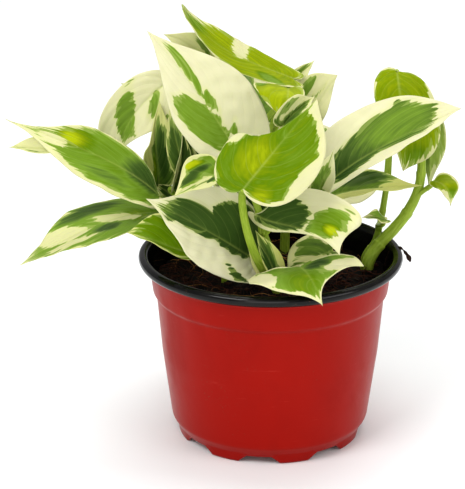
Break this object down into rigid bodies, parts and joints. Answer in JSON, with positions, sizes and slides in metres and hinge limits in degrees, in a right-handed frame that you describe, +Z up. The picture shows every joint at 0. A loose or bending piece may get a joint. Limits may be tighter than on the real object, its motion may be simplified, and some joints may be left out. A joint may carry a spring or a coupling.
{
  "type": "potted njoy pothos",
  "caption": "Bushy variegated pothos with heart-shaped green and cream leaves on long stalks, in a tapered nursery pot filled with soil; stands free.",
  "frame": {"origin": "centre of the flat pad under the pot, on the surface it stands on", "axes": "+Z up along the pot's axis; -Y is the side that the picture shows, +X to that viewer's right"},
  "size_m": [0.2167, 0.1754, 0.2152],
  "materials": {
    "pot_plastic": "satin",
    "potting_mix": "matte",
    "stem": "satin",
    "leaf_green": "satin",
    "leaf_lime": "satin",
    "leaf_cream": "satin"
  },
  "bodies": {
    "root": {"leaf_back_cream": "leaf_cream", "leaf_back_high": "leaf_green", "leaf_back_left": "leaf_cream", "leaf_back_low": "leaf_cream", "leaf_back_mid": "leaf_green", "leaf_back_pale": "leaf_cream", "leaf_back_right": "leaf_green", "leaf_back_rim": "leaf_green", "leaf_dark_left": "leaf_green", "leaf_far_left": "leaf_lime", "leaf_folded": "leaf_green", "leaf_heart_front": "leaf_lime", "leaf_left_arch": "leaf_cream", "leaf_left_low": "leaf_green", "leaf_left_under": "leaf_cream", "leaf_low_left": "leaf_green", "leaf_mid_lime": "leaf_lime", "leaf_mid_small": "leaf_green", "leaf_narrow_b": "leaf_green", "leaf_narrow_left": "leaf_cream", "leaf_right_big": "leaf_green", "leaf_right_droop": "leaf_lime", "leaf_right_hang": "leaf_lime", "leaf_right_mid": "leaf_green", "leaf_right_thin": "leaf_green", "leaf_right_top": "leaf_lime", "leaf_rim_leaf": "leaf_green", "leaf_small_left": "leaf_green", "leaf_small_tip": "leaf_lime", "leaf_tall_cream": "leaf_cream", "leaf_top_lime": "leaf_lime", "leaf_under_leaf": "leaf_cream", "leaf_wide_right": "leaf_green", "pot": "pot_plastic", "soil": "potting_mix", "vine_back": "stem", "vine_cent": "stem", "vine_front": "stem", "vine_left": "stem", "vine_mid": "stem", "vine_right": "stem", "vine_thin": "stem"}
  },
  "joints": []
}
